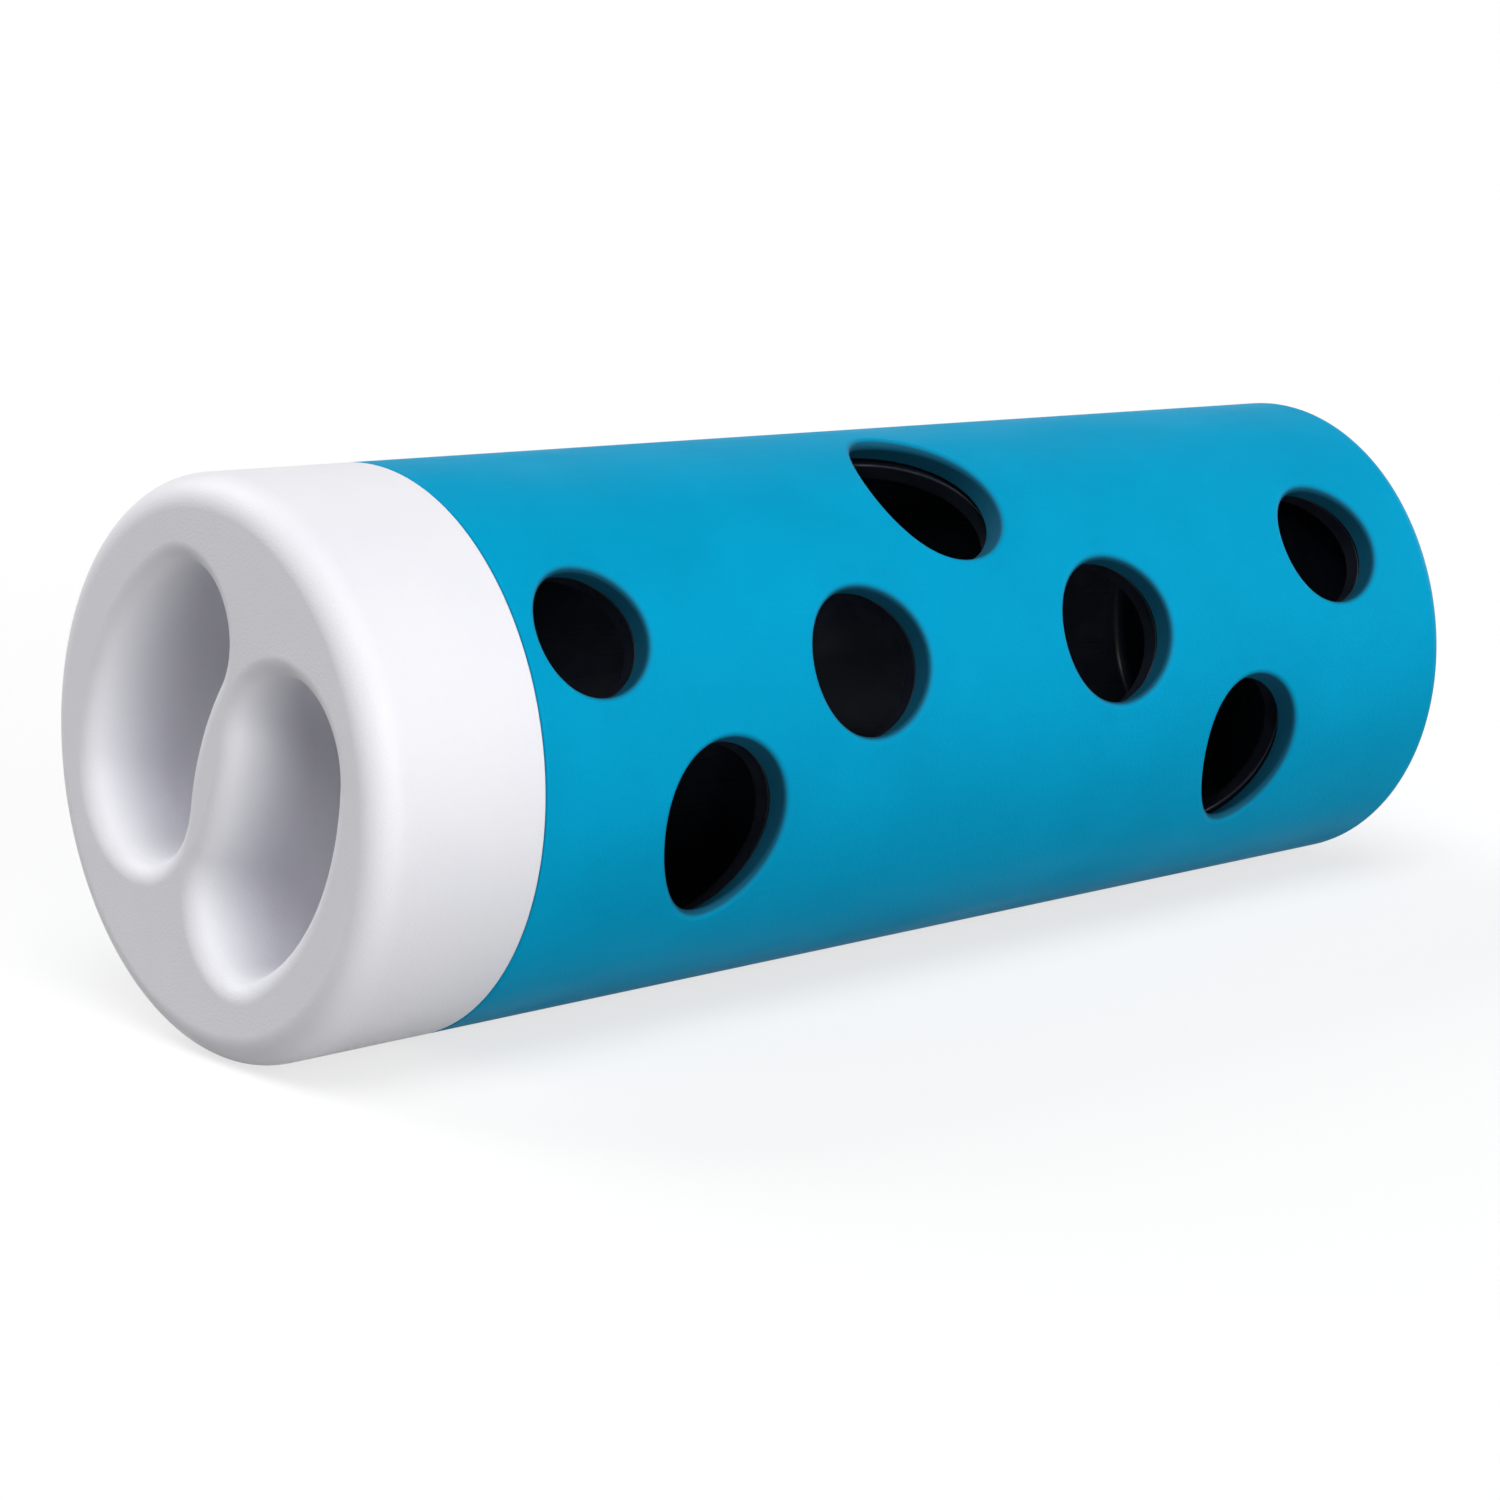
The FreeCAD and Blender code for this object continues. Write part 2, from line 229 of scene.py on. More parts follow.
class Skin:
    """Patches of faces with a normal at every corner, joined into one closed mesh."""

    def __init__(self):
        self.patches = []

    def faces(self, points, normals):
        """Faces of equal corner count: both arrays are (faces, corners, 3)."""
        self.patches.append((np.asarray(points, float), np.broadcast_to(normals, np.shape(points))))

    def face(self, points, normal):
        """One flat face."""
        self.faces([points], normal)

    def lattice(self, points, normals, closed=True, keep=None):
        """Faces between rows of points, closed round each row; keep says which columns have faces."""
        columns = points.shape[1]
        left = np.arange(columns if closed else columns - 1)
        if keep is not None:
            left = left[keep[:len(left)]]
        right = (left + 1) % columns
        both = []
        for grid in (points, normals):
            corners = [grid[:-1, left], grid[:-1, right], grid[1:, right], grid[1:, left]]
            both.append(np.stack(corners, axis=2).reshape(-1, 4, 3))
        self.faces(*both)

    def mesh(self, name):
        """Blender object of the whole skin, with corners at the same place shared."""
        flat = np.concatenate([points.reshape(-1, 3) for points, _ in self.patches])
        welded = np.round(flat, WELD_DECIMALS)
        _, first, number = np.unique(welded, axis=0, return_index=True, return_inverse=True)
        number = number.reshape(-1)
        outlines = []
        corner_normals = []
        start = 0
        for points, normals in self.patches:
            count, corners = points.shape[:2]
            numbers = number[start:start + count * corners].reshape(count, corners)
            start += count * corners
            area = np.cross(points, np.roll(points, -1, axis=1)).sum(axis=1)
            backwards = (area * normals.mean(axis=1)).sum(axis=1) < 0
            for row, normal, flip in zip(numbers.tolist(), normals.tolist(), backwards.tolist()):
                outline = dict(zip(row, normal))
                if len(outline) < 3:
                    continue
                order = list(outline)
                if flip:
                    order.reverse()
                outlines.append(order)
                corner_normals.extend(outline[corner] for corner in order)
        data = bpy.data.meshes.new(name)
        data.from_pydata((flat[first] * MM).tolist(), [], outlines)
        data.polygons.foreach_set("use_smooth", [True] * len(data.polygons))
        data.normals_split_custom_set(corner_normals)
        item = bpy.data.objects.new(name, data)
        bpy.context.scene.collection.objects.link(item)
        return item


def ring(x, radius, angles=STATION_ANGLES):
    """Points of a circle round the axis."""
    return np.stack([np.full(len(angles), x), radius * np.cos(angles), radius * np.sin(angles)], axis=1)


def ring_normals(along, outward):
    """Unit normals of a ring from their share along the axis and away from it."""
    size = math.hypot(along, outward)
    return ring(along / size, outward / size)


def turned(skin, profile, keep=None):
    """Surface of revolution from (x, radius, normal along, normal outward) rows."""
    points = np.array([ring(x, radius) for x, radius, _, _ in profile])
    normals = np.array([ring_normals(along, outward) for _, _, along, outward in profile])
    skin.lattice(points, normals, keep=keep)


def straight(start, end, inward=False):
    """Profile rows of a cone, cylinder or disc from one (x, radius) to another."""
    run = (end[0] - start[0], end[1] - start[1])
    size = math.hypot(*run)
    normal = (-run[1] / size, run[0] / size)
    if inward:
        normal = (-normal[0], -normal[1])
    return [(start[0], start[1], *normal), (end[0], end[1], *normal)]


def rolled(centre, radius, first, last, steps, hollow=False):
    """Profile rows of a rounded edge about centre, between two directions given in degrees from +X."""
    rows = []
    for angle in np.radians(np.linspace(first, last, steps + 1)):
        along = math.cos(angle)
        outward = math.sin(angle)
        sign = -1 if hollow else 1
        rows.append((centre[0] + radius * along, centre[1] + radius * outward, sign * along, sign * outward))
    return rows


def slerp(first, second, share):
    """Unit vectors part of the way from one set of unit vectors to another."""
    angle = np.arccos(np.clip((first * second).sum(-1), -1.0, 1.0))[:, None]
    return (first * np.sin((1 - share) * angle) + second * np.sin(share * angle)) / np.sin(angle)


class Hole:
    """A round hole through the wall, along a direction square to the axis."""

    def __init__(self, x, lean, rise, radius):
        """lean is the hole's direction above -Y, and rise is its axis's distance from the roll's axis."""
        self.pull = np.array([0.0, -math.cos(lean), math.sin(lean)])
        self.across = np.array([0.0, math.sin(lean), math.cos(lean)])
        self.x = x
        self.rise = rise
        self.radius = radius
        turn = 2 * math.pi * np.arange(HOLE_POINTS) / HOLE_POINTS
        self.away = np.outer(np.cos(turn), X_AXIS) + np.outer(np.sin(turn), self.across)

    def on_cylinder(self, radius, radius_at, shift):
        """Points at a radius from the hole's axis that lie on a cone moved by shift along its normal."""
        centre = self.x * X_AXIS + self.rise * self.across
        flat = centre + radius * self.away
        height = flat @ self.across
        reach = radius_at(flat[:, 0]) + shift / TILT_COS
        return flat + np.sqrt(reach ** 2 - height ** 2)[:, None] * self.pull

    def rolled_edge(self, radius_at, roll, side, steps):
        """Rows of points and normals round the hole's edge, from the cone's surface into the hole.

        side is 1 where the cone is the outer face of the wall and -1 where it is the inner one.
        """
        middle = self.on_cylinder(self.radius + roll, radius_at, -side * roll)
        outward = cone_normal(middle) * side
        points = []
        normals = []
        for step in range(steps + 1):
            normal = slerp(outward, -self.away, step / steps)
            points.append(middle + roll * normal)
            normals.append(normal)
        return np.array(points), np.array(normals)


def cone_normal(points):
    """Outward unit normals of the tapered surface at some points."""
    angles = np.arctan2(points[:, 2], points[:, 1])
    spread = np.stack([np.full(len(angles), SLOPE), np.cos(angles), np.sin(angles)], axis=1)
    return spread * TILT_COS


def unrolled(points):
    """(x, arc length) of points on the taper, with the cut along SEAM_ANGLE."""
    angles = np.arctan2(points[:, 2], points[:, 1])
    turn = np.mod(angles - SEAM_ANGLE, 2 * math.pi)
    return np.stack([points[:, 0], turn * CAP_END_RADIUS], axis=1)


def within(places, loop, margin=0.0):
    """Which of some flat places lie inside a loop or within the margin of it."""
    middle = loop.mean(axis=0)
    offset = loop - middle
    angles = np.arctan2(offset[:, 1], offset[:, 0])
    order = np.argsort(angles)
    reach = np.hypot(offset[:, 0], offset[:, 1])[order]
    mine = places - middle
    edge = np.interp(np.arctan2(mine[:, 1], mine[:, 0]), angles[order], reach, period=2 * math.pi)
    return np.hypot(mine[:, 0], mine[:, 1]) < edge + margin


def triangles_round(border, inner, loops):
    """Triangles between a border of flat places and some loops, through the inner places given.

    Returns all places, the triangles, and for each loop the numbers of its own places.
    """
    clear = inner
    for loop in loops:
        clear = clear[~within(clear, loop, CLEAR_OF_HOLES)]
    places = np.concatenate([border, clear, *loops])
    edges = []
    start = len(border) + len(clear)
    spans = []
    for loop in loops:
        edges.extend((start + i, start + (i + 1) % len(loop)) for i in range(len(loop)))
        spans.append(slice(start, start + len(loop)))
        start += len(loop)
    whole_hull = 0
    closeness = 1e-6
    corners = [Vector(place) for place in places]
    _, _, triples, origins, _, _ = delaunay_2d_cdt(corners, edges, [], whole_hull, closeness)
    first_origin = np.array([origin[0] for origin in origins])
    triangles = first_origin[np.array(triples)]
    middles = places[triangles].mean(axis=1)
    outside = np.ones(len(triangles), bool)
    for loop in loops:
        outside &= ~within(middles, loop)
    return places, triangles[outside], spans


def holed_cone(skin, radius_at, x_from, x_to, loops, side):
    """Tapered surface between two stations with hole loops left open."""
    turns = np.arange(STATIONS + 1) * 2 * math.pi / STATIONS * CAP_END_RADIUS
    stations = np.linspace(x_from, x_to, max(2, round((x_to - x_from) / CONE_STEP)) + 1)
    ends = np.array([(x, turn) for x in (x_from, x_to) for turn in turns])
    cuts = np.array([(x, turn) for x in stations[1:-1] for turn in (turns[0], turns[-1])])
    inner = np.array([(x, turn) for x in stations[1:-1] for turn in turns[1:-1]])
    flat, triangles, spans = triangles_round(np.concatenate([ends, cuts]), inner,
                                             [unrolled(loop) for loop in loops])
    turn = flat[:, 1] / CAP_END_RADIUS + SEAM_ANGLE
    radius = radius_at(flat[:, 0])
    points = np.stack([flat[:, 0], radius * np.cos(turn), radius * np.sin(turn)], axis=1)
    for loop, span in zip(loops, spans):
        points[span] = loop
    normals = cone_normal(points) * side
    skin.faces(points[triangles], normals[triangles])


def sleeve_holes():
    """Holes of the sleeve: the front row, and the same row half a turn round."""
    holes = []
    for lean in (HOLE_ROW_TILT, HOLE_ROW_TILT + math.pi):
        for step, rise, radius in HOLES:
            holes.append(Hole(HOLE_ROW_CENTRE_X + step, lean, rise, radius))
    return holes


def drum_holes():
    """Holes of the drum: one row behind the sleeve's, moved in where the bore would graze them."""
    holes = []
    for step, rise, radius in HOLES:
        x = HOLE_ROW_CENTRE_X + step
        wide = radius + DRUM_HOLE_EXTRA
        most = drum_bore(x) - wide - DRUM_HOLE_MARGIN
        holes.append(Hole(x, HOLE_ROW_TILT, max(-most, min(most, rise)), wide))
    return holes


def holed_wall(skin, holes, outside, inside, outer_roll, inner_roll, outer_span, inner_span):
    """Both faces of a tapered wall with its holes, from one station to another."""
    outer_loops = []
    inner_loops = []
    for hole in holes:
        points, normals = hole.rolled_edge(outside, outer_roll, 1, HOLE_RIM_STEPS)
        under, under_normals = hole.rolled_edge(inside, inner_roll, -1, HOLE_UNDER_STEPS)
        skin.lattice(points, normals)
        skin.lattice(under, under_normals)
        shares = np.linspace(0.0, 1.0, HOLE_WALL_STEPS + 1)[:, None, None]
        barrel = points[-1] + (under[-1] - points[-1]) * shares
        skin.lattice(barrel, np.broadcast_to(-hole.away, barrel.shape))
        outer_loops.append(points[0])
        inner_loops.append(under[0])
    holed_cone(skin, outside, *outer_span, outer_loops, 1)
    holed_cone(skin, inside, *inner_span, inner_loops, -1)


def sleeve():
    """Soft sleeve: rolled far edge, two rows of rolled holes, snap groove and pivot pin."""
    skin = Skin()
    floor_x = FAR_FACE_X - SLEEVE_FLOOR
    taper = math.degrees(math.atan(SLOPE))

    # Far end
    far_centre_x = FAR_FACE_X - FAR_EDGE_ROLL
    far_centre = (far_centre_x, outer_radius(far_centre_x) - FAR_EDGE_ROLL / TILT_COS)
    far_roll = rolled(far_centre, FAR_EDGE_ROLL, 90 - taper, 0, FAR_EDGE_STEPS)
    turned(skin, far_roll)
    turned(skin, straight((FAR_FACE_X, 0.0), (FAR_FACE_X, far_centre[1]), inward=True))

    # Mouth
    mouth_centre_x = SEAM_X + MOUTH_ROLL
    mouth_centre = (mouth_centre_x, outer_radius(mouth_centre_x) - MOUTH_ROLL / TILT_COS)
    mouth_roll = rolled(mouth_centre, MOUTH_ROLL, 180, 90 - taper, MOUTH_STEPS)
    turned(skin, mouth_roll)
    turned(skin, straight((SEAM_X, sleeve_bore(SEAM_X)), (SEAM_X, mouth_centre[1])))

    # Inner face: snap groove, floor and pivot pin
    groove_depth = BEAD_HEIGHT - DRUM_GAP + BEAD_CLEARANCE
    groove_from = BEAD_X - BEAD_HALF - BEAD_CLEARANCE
    groove_to = BEAD_X + BEAD_HALF + BEAD_CLEARANCE
    inner = [
        (groove_from - groove_depth, sleeve_bore(groove_from - groove_depth)),
        (groove_from, sleeve_bore(groove_from) + groove_depth),
        (groove_to, sleeve_bore(groove_to) + groove_depth),
        (groove_to + groove_depth, sleeve_bore(groove_to + groove_depth)),
        (floor_x, sleeve_bore(floor_x)),
        (floor_x, PIVOT_RADIUS),
        (floor_x - PIVOT_LENGTH, PIVOT_RADIUS),
        (floor_x - PIVOT_LENGTH, 0.0),
    ]
    for start, end in zip(inner, inner[1:]):
        turned(skin, straight(start, end, inward=True))

    holed_wall(skin, sleeve_holes(), outer_radius, sleeve_bore, RIM_ROLL, RIM_INNER_ROLL,
               (mouth_roll[-1][0], far_roll[0][0]), (SEAM_X, inner[0][0]))
    return skin.mesh("sleeve_skin")


def key_columns():
    """Which spans between stations lie in a key or its notch."""
    middles = np.degrees(STATION_ANGLES) + STATION_STEP / 2
    pitch = 360.0 / KEY_COUNT
    return np.abs((middles + pitch / 2) % pitch - pitch / 2) < NOTCH_HALF_ANGLE


def drum():
    """Rigid drum: notched neck, one row of holes, snap bead, rounded floor corner and pivot socket."""
    skin = Skin()
    floor_x = DRUM_TAIL_X - DRUM_FLOOR
    notch_x = NECK_RIM_X + KEY_DEPTH
    roll = NECK_RIM_ROLL

    # Neck between the seam and the foot of the notches, then the fingers between the notches
    turned(skin, straight((notch_x, NECK_RADIUS), (SEAM_X, NECK_RADIUS)))
    turned(skin, straight((notch_x, NECK_BORE), (SEAM_X, NECK_BORE), inward=True))
    finger = straight((notch_x, NECK_RADIUS), (NECK_RIM_X + roll, NECK_RADIUS), inward=True)
    finger += rolled((NECK_RIM_X + roll, NECK_RADIUS - roll), roll, 90, 180, NECK_RIM_STEPS)
    finger += rolled((NECK_RIM_X + roll, NECK_BORE + roll), roll, 180, 270, NECK_RIM_STEPS)
    finger += straight((NECK_RIM_X + roll, NECK_BORE), (notch_x, NECK_BORE), inward=True)
    turned(skin, finger, keep=~key_columns())
    for key in range(KEY_COUNT):
        notch(skin, math.radians(360.0 / KEY_COUNT * key), notch_x, finger)

    # Tail: bead, end face and socket
    bead_from = BEAD_X - BEAD_HALF
    bead_to = BEAD_X + BEAD_HALF
    tail = [
        (bead_from - BEAD_HEIGHT, drum_outside(bead_from - BEAD_HEIGHT)),
        (bead_from, drum_outside(bead_from) + BEAD_HEIGHT),
        (bead_to, drum_outside(bead_to) + BEAD_HEIGHT),
        (bead_to + BEAD_HEIGHT, drum_outside(bead_to + BEAD_HEIGHT)),
        (DRUM_TAIL_X, drum_outside(DRUM_TAIL_X)),
        (DRUM_TAIL_X, PIVOT_RADIUS + PIVOT_FIT),
        (DRUM_TAIL_X - PIVOT_LENGTH, PIVOT_RADIUS + PIVOT_FIT),
        (DRUM_TAIL_X - PIVOT_LENGTH, 0.0),
    ]
    for start, end in zip(tail, tail[1:]):
        turned(skin, straight(start, end))

    # Floor inside, with its rounded corner
    taper = math.degrees(math.atan(SLOPE))
    corner_x = floor_x - DRUM_CORNER_ROLL
    corner = (corner_x, drum_bore(corner_x) - DRUM_CORNER_ROLL / TILT_COS)
    corner_roll = rolled(corner, DRUM_CORNER_ROLL, 90 - taper, 0, DRUM_CORNER_STEPS, hollow=True)
    turned(skin, corner_roll)
    turned(skin, straight((floor_x, 0.0), (floor_x, corner[1])))

    holed_wall(skin, drum_holes(), drum_outside, drum_bore, DRUM_HOLE_ROLL,
               DRUM_HOLE_ROLL, (SEAM_X, tail[0][0]), (SEAM_X, corner_roll[0][0]))
    return skin.mesh("drum_shell")


def at_angle(section, angle):
    """Points of a section's (x, radius, ...) rows in the half plane at an angle round the axis."""
    return np.array([(row[0], row[1] * math.cos(angle), row[1] * math.sin(angle)) for row in section])


def notch(skin, angle, notch_x, finger):
    """Foot and two sides of one key notch in the drum's neck."""
    half = math.radians(NOTCH_HALF_ANGLE)
    across = np.arange(-NOTCH_HALF_ANGLE, NOTCH_HALF_ANGLE + STATION_STEP / 2, STATION_STEP)
    angles = angle + np.radians(across)
    foot = np.array([ring(notch_x, NECK_BORE, angles), ring(notch_x, NECK_RADIUS, angles)])
    skin.lattice(foot, np.broadcast_to(-X_AXIS, foot.shape), closed=False)
    for side in (-1, 1):
        edge = angle + side * half
        normal = np.array([0.0, math.sin(edge), -math.cos(edge)]) * side
        skin.face(at_angle(finger, edge), normal)


def lobe(place):
    """Centre of a recess lobe in the (y, z) plane, and its radius."""
    distance, angle, radius = place
    return distance * np.array([math.cos(angle), math.sin(angle)]), radius


def arc_points(centre, radius, first, last, step):
    """Points and normals of an arc between two directions, turning the positive way."""
    turn = (last - first) % (2 * math.pi)
    angles = first + np.linspace(0.0, turn, max(2, round(turn / math.radians(step)) + 1))
    away = np.stack([np.cos(angles), np.sin(angles)], axis=1)
    return centre + radius * away, away


def direction(vector):
    return math.atan2(vector[1], vector[0])


def beside(upper, first, lower, second):
    """Point at two distances from the lobes' centres, on the side of the ridge."""
    gap = np.linalg.norm(lower - upper)
    along = (lower - upper) / gap
    aside = np.array([along[1], -along[0]])
    reach = (first ** 2 - second ** 2 + gap ** 2) / (2 * gap)
    return upper + reach * along + math.sqrt(first ** 2 - reach ** 2) * aside


def recess_outline():
    """Outline of one recess on the cap's face: points and outward normals, in the (y, z) plane."""
    upper, upper_radius = lobe(UPPER_LOBE)
    lower, lower_radius = lobe(LOWER_LOBE)
    bow = beside(upper, OUTER_ARC_RADIUS - upper_radius, lower, OUTER_ARC_RADIUS - lower_radius)
    hollow = beside(upper, FLANK_RADIUS + upper_radius, lower, FLANK_RADIUS + lower_radius)
    flank, away = arc_points(hollow, FLANK_RADIUS, direction(lower - hollow), direction(upper - hollow),
                             FLANK_STEP)
    spans = [
        arc_points(bow, OUTER_ARC_RADIUS, direction(lower - bow), direction(upper - bow), OUTER_ARC_STEP),
        arc_points(upper, upper_radius, direction(upper - bow), direction(hollow - upper), LOBE_STEP),
        (flank[::-1], -away[::-1]),
        arc_points(lower, lower_radius, direction(hollow - lower), direction(lower - bow), LOBE_STEP),
    ]
    return tuple(np.concatenate([span[part][:-1] for span in spans]) for part in (0, 1))


def offset_rows(outline, rows, mirrored):
    """Rows of points and normals round an outline from (outward, x, normal outward, normal along) rows."""
    flat, away = outline
    sign = -1.0 if mirrored else 1.0
    points = []
    normals = []
    for outward, x, normal_outward, normal_along in rows:
        place = (flat + outward * away) * sign
        points.append(np.column_stack([np.full(len(place), x), place]))
        lean = away * normal_outward * sign
        normals.append(np.column_stack([np.full(len(place), normal_along), lean]))
    return np.array(points), np.array(normals)


def recess_rows():
    """Section of a recess from the face down its rolled rim and drafted wall to the bottom."""
    draft = math.atan(RECESS_DRAFT / RECESS_DEPTH)
    lean = (math.sin(draft), math.cos(draft))
    rim = RECESS_RIM_ROLL
    run = rim * (1 - lean[0]) / lean[1]
    rim_centre = (rim * lean[1] - run * lean[0], rim)
    bottom = RECESS_BOTTOM_ROLL
    run = (RECESS_DEPTH - bottom + bottom * lean[0]) / lean[1]
    bottom_centre = (-run * lean[0] - bottom * lean[1], RECESS_DEPTH - bottom)
    rows = []
    for angle in np.linspace(-math.pi / 2, -math.pi + draft, RECESS_RIM_STEPS + 1):
        normal = (math.cos(angle), math.sin(angle))
        rows.append((rim_centre[0] + rim * normal[0], rim_centre[1] + rim * normal[1], *normal))
    for angle in np.linspace(-math.pi + draft, -math.pi / 2, RECESS_BOTTOM_STEPS + 1):
        normal = (math.cos(angle), math.sin(angle))
        rows.append((bottom_centre[0] - bottom * normal[0], bottom_centre[1] - bottom * normal[1], *normal))
    return [(outward, CAP_FACE_X + depth, along, back) for outward, depth, along, back in rows]


def pocket_rows():
    """Section of a recess's back, a wall's thickness outside it, from the plate to its flat bottom."""
    end_depth = RECESS_DEPTH + POCKET_WALL
    bevel = (RECESS_BOTTOM_ROLL + POCKET_WALL) * (2 - math.sqrt(2))
    slope = RECESS_DRAFT / RECESS_DEPTH
    draft = math.atan(slope)
    corner = POCKET_WALL - slope * end_depth
    section = [
        (POCKET_WALL - slope * CAP_PLATE, CAP_PLATE),
        (corner + bevel * math.sin(draft), end_depth - bevel * math.cos(draft)),
        (corner - bevel, end_depth),
    ]
    pieces = []
    for start, end in zip(section, section[1:]):
        run = (end[0] - start[0], end[1] - start[1])
        size = math.hypot(*run)
        normal = (run[1] / size, -run[0] / size)
        pieces.append([(outward, CAP_FACE_X + depth, *normal) for outward, depth in (start, end)])
    return pieces


def holed_plate(skin, x, radius, loops, facing):
    """Flat plate across the axis inside a circle, with loops left open."""
    circle = ring(x, radius)[:, 1:]
    flat, triangles, _ = triangles_round(circle, np.empty((0, 2)), [loop[:, 1:] for loop in loops])
    points = np.column_stack([np.full(len(flat), x), flat])
    skin.faces(points[triangles], X_AXIS * facing)


def cap():
    """Twist cap: rolled edge, two finger recesses, skirt with keys and the backs of the pockets."""
    skin = Skin()
    taper = math.degrees(math.atan(SLOPE))
    outline = recess_outline()

    # Outside
    edge_centre_x = CAP_FACE_X + CAP_EDGE_ROLL
    edge_centre = (edge_centre_x, outer_radius(edge_centre_x) - CAP_EDGE_ROLL / TILT_COS)
    edge = rolled(edge_centre, CAP_EDGE_ROLL, 180, 90 - taper, CAP_EDGE_STEPS)
    mouth_centre_x = CAP_END_X - MOUTH_ROLL
    mouth_centre = (mouth_centre_x, outer_radius(mouth_centre_x) - MOUTH_ROLL / TILT_COS)
    mouth = rolled(mouth_centre, MOUTH_ROLL, 90 - taper, 0, MOUTH_STEPS)
    turned(skin, edge + mouth)
    turned(skin, straight((CAP_END_X, SKIRT_BORE), (CAP_END_X, mouth_centre[1]), inward=True))

    # Face and recesses
    rims = []
    for mirrored in (False, True):
        points, normals = offset_rows(outline, recess_rows(), mirrored)
        skin.lattice(points, normals)
        skin.face(points[-1], -X_AXIS)
        rims.append(points[0])
    holed_plate(skin, CAP_FACE_X, edge_centre[1], rims, -1)

    # Inside of the skirt: plain mouth, then shoulder and hollow between the keys
    key_end_x = NECK_RIM_X + KEY_DEPTH - 2 * KEY_FIT
    shoulder_x = NECK_RIM_X - SHOULDER_GAP
    plate_x = CAP_FACE_X + CAP_PLATE
    hollow_radius = SKIRT_BORE - SHOULDER_WIDTH
    crest = NECK_BORE + KEY_FIT
    turned(skin, straight((key_end_x, SKIRT_BORE), (CAP_END_X, SKIRT_BORE), inward=True))
    keys(skin, crest, [
        (key_end_x, SKIRT_BORE),
        (shoulder_x, SKIRT_BORE),
        (shoulder_x, hollow_radius),
        (edge_centre_x, hollow_radius),
        (plate_x, SKIRT_BORE - CAP_EDGE_ROLL / 2),
        (plate_x, crest),
    ])

    # Plate and pocket backs
    backs = []
    for mirrored in (False, True):
        stretches = [offset_rows(outline, rows, mirrored) for rows in pocket_rows()]
        for points, normals in stretches:
            skin.lattice(points, normals)
        skin.face(stretches[-1][0][-1], X_AXIS)
        backs.append(stretches[0][0][0])
    holed_plate(skin, plate_x, crest, backs, 1)
    return skin.mesh("cap_shell")


def keys(skin, crest, between):
    """Skirt's inner face with its keys: between is its (x, radius) section from key end to plate."""
    key_end_x = between[0][0]
    plate_x = between[-1][0]
    over_key = [between[0], (key_end_x, crest), (plate_x, crest)]
    for section, columns in ((between, ~key_columns()), (over_key, key_columns())):
        for start, end in zip(section, section[1:]):
            turned(skin, straight(start, end), keep=columns)
    corners = between + [(key_end_x, crest)]
    for key in range(KEY_COUNT):
        for side in (-1, 1):
            angle = 2 * math.pi * key / KEY_COUNT + side * math.radians(NOTCH_HALF_ANGLE)
            normal = np.array([0.0, -math.sin(angle), math.cos(angle)]) * side
            skin.face(at_angle(corners, angle), normal)


def placed(tree, kind, **settings):
    """New node of a kind, with its sockets or properties set by name."""
    node = tree.nodes.new(kind)
    for name, value in settings.items():
        label = name.replace("_", " ").title()
        if label in node.inputs:
            node.inputs[label].default_value = value
        else:
            setattr(node, name, value)
    return node


def noise(tree, scale, detail, stretch=(1.0, 1.0, 1.0)):
    """Noise in the object's own coordinates: scale is in features to the metre."""
    place = placed(tree, "ShaderNodeTexCoord")
    mapping = placed(tree, "ShaderNodeMapping")
    mapping.inputs["Scale"].default_value = stretch
    texture = placed(tree, "ShaderNodeTexNoise", scale=scale, detail=detail)
    tree.links.new(place.outputs["Object"], mapping.inputs["Vector"])
    tree.links.new(mapping.outputs["Vector"], texture.inputs["Vector"])
    return texture.outputs["Fac"]


def ranged(tree, value, low, high, start=NOISE_LOW, end=NOISE_HIGH):
    """Value spread from low to high as it goes from start to end."""
    node = placed(tree, "ShaderNodeMapRange", from_min=start, from_max=end, to_min=low, to_max=high)
    tree.links.new(value, node.inputs["Value"])
    return node.outputs["Result"]


def blended(tree, share, first, second):
    """Colour between two by a share: each is a constant or another node's output."""
    node = placed(tree, "ShaderNodeMix", data_type="RGBA")
    factor_socket = node.inputs[0]
    first_socket, second_socket = node.inputs[6:8]
    for socket, colour in ((first_socket, first), (second_socket, second)):
        if isinstance(colour, tuple):
            socket.default_value = (*colour, 1.0)
        else:
            tree.links.new(colour, socket)
    tree.links.new(share, factor_socket)
    return node.outputs[2]


def separated(tree, kind):
    """X, Y and Z on the object itself: kind is Object for a place in metres and Normal for a direction."""
    place = placed(tree, "ShaderNodeTexCoord")
    parts = placed(tree, "ShaderNodeSeparateXYZ")
    tree.links.new(place.outputs[kind], parts.inputs[0])
    return parts.outputs


def under_surface(tree, from_depth, to_depth):
    """0 on the roll's tapered outside, rising to 1 between two depths under it, in millimetres."""
    parts = separated(tree, "Object")
    across = placed(tree, "ShaderNodeCombineXYZ")
    for axis in ("Y", "Z"):
        tree.links.new(parts[axis], across.inputs[axis])
    distance = placed(tree, "ShaderNodeVectorMath", operation="LENGTH")
    tree.links.new(across.outputs[0], distance.inputs[0])
    level = placed(tree, "ShaderNodeMath", operation="MULTIPLY_ADD")
    level.inputs[1].default_value = SLOPE
    tree.links.new(parts["X"], level.inputs[0])
    tree.links.new(distance.outputs["Value"], level.inputs[2])
    start, end = [(outer_radius(0.0) - depth) * MM for depth in (from_depth, to_depth)]
    return ranged(tree, level.outputs[0], 0.0, 1.0, start, end)


